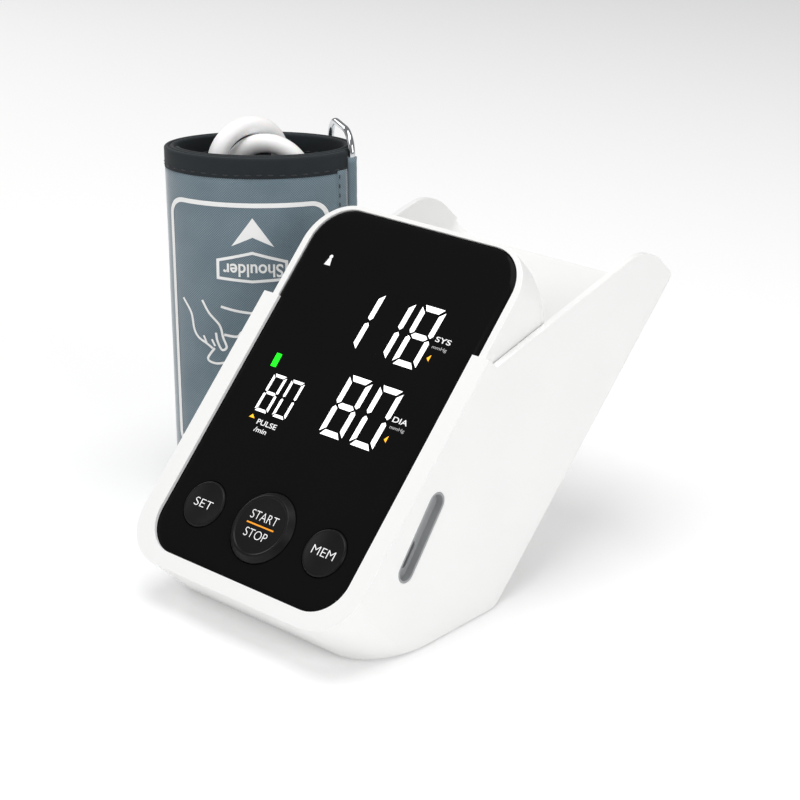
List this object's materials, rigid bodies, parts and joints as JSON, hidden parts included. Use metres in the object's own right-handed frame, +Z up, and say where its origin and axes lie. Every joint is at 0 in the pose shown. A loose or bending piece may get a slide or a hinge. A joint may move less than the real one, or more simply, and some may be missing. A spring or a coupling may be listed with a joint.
{
  "type": "blood pressure monitor with arm cuff",
  "caption": "Desktop upper-arm blood pressure monitor: sloped display panel with push buttons, rear cuff bay, and a rolled cloth cuff with its air hose.",
  "frame": {"origin": "middle of the front rubber foot strip, on the plane that the monitor stands on", "axes": "+X to the right of a person facing the display, +Y towards the back, +Z up"},
  "size_m": [0.1609, 0.1723, 0.1389],
  "materials": {
    "white_case": "satin moulded ABS",
    "black_glass": "gloss back-printed acrylic",
    "black_key": "satin black moulded plastic",
    "dark_plastic": "matt moulded plastic",
    "pale_plastic": "satin moulded plastic",
    "grey_plastic": "satin grey moulded plastic",
    "board_green": "solder-masked circuit board",
    "motor_steel": "plated steel can",
    "brass_valve": "yellow passivated can",
    "contact_metal": "nickel-plated steel",
    "cell_wrap": "printed shrink sleeve",
    "tube_white": "soft white tubing",
    "rubber_foot": "matt rubber",
    "cuff_fabric": "grey-blue woven nylon",
    "lining_fabric": "dark woven nylon",
    "binding_tape": "dark bias tape",
    "chrome_wire": "bright chrome plate"
  },
  "bodies": {
    "monitor": {"case_shell": "white_case", "head_shell": "white_case", "head_back": "white_case", "bay_liner": "white_case", "base_plate": "white_case", "foot_strips": "rubber_foot", "front_lens": "black_glass", "display_module": "dark_plastic", "main_board": "board_green", "key_switches": "dark_plastic", "buzzer": "dark_plastic", "pressure_sensor": "pale_plastic", "pump_motor": "motor_steel", "pump_head": "dark_plastic", "pump_saddle": "rubber_foot", "release_valve": "brass_valve", "air_tubes": "tube_white", "air_socket": "grey_plastic", "port_bezel": "grey_plastic", "usb_port": "contact_metal", "charge_board": "board_green", "battery_cells": "cell_wrap", "battery_springs": "contact_metal", "battery_plates": "contact_metal", "base_screws": "contact_metal", "board_screws": "contact_metal"},
    "battery_door": {"battery_door": "white_case"},
    "start_button": {"start_button": "black_key"},
    "set_button": {"set_button": "black_key"},
    "mem_button": {"mem_button": "black_key"},
    "cuff": {"cuff_cloth": "cuff_fabric", "cuff_lining": "lining_fabric", "air_bladder": "rubber_foot", "hook_patch": "lining_fabric", "top_binding": "binding_tape", "bottom_binding": "binding_tape", "ring_hem": "cuff_fabric", "hose_port": "pale_plastic", "air_hose": "tube_white", "plug_grip": "pale_plastic", "plug_nozzle": "grey_plastic", "plug_seal": "rubber_foot"},
    "d_ring": {"d_ring": "chrome_wire"}
  },
  "joints": [
    {"name": "start_press", "type": "slide", "parent": "monitor", "child": "start_button", "axis": [0, 0.7193, -0.6947], "range_m": [0, 0.0008], "stiffness_N_per_m": 900},
    {"name": "set_press", "type": "slide", "parent": "monitor", "child": "set_button", "axis": [0, 0.7193, -0.6947], "range_m": [0, 0.0008], "stiffness_N_per_m": 700},
    {"name": "mem_press", "type": "slide", "parent": "monitor", "child": "mem_button", "axis": [0, 0.7193, -0.6947], "range_m": [0, 0.0008], "stiffness_N_per_m": 700},
    {"name": "door_hinge", "type": "hinge", "parent": "monitor", "child": "battery_door", "pos_m": [0, 0.0063, 0.0019], "axis": [-1, 0, 0], "range_deg": [0, 80]},
    {"name": "cuff_lift", "type": "slide", "parent": "monitor", "child": "cuff", "axis": [0, 0, 1], "range_m": [0, 0.2]},
    {"name": "ring_swing", "type": "hinge", "parent": "cuff", "child": "d_ring", "pos_m": [-0.05288, 0.09267, 0.07], "axis": [0, 0, 1], "range_deg": [-8, 0]}
  ]
}
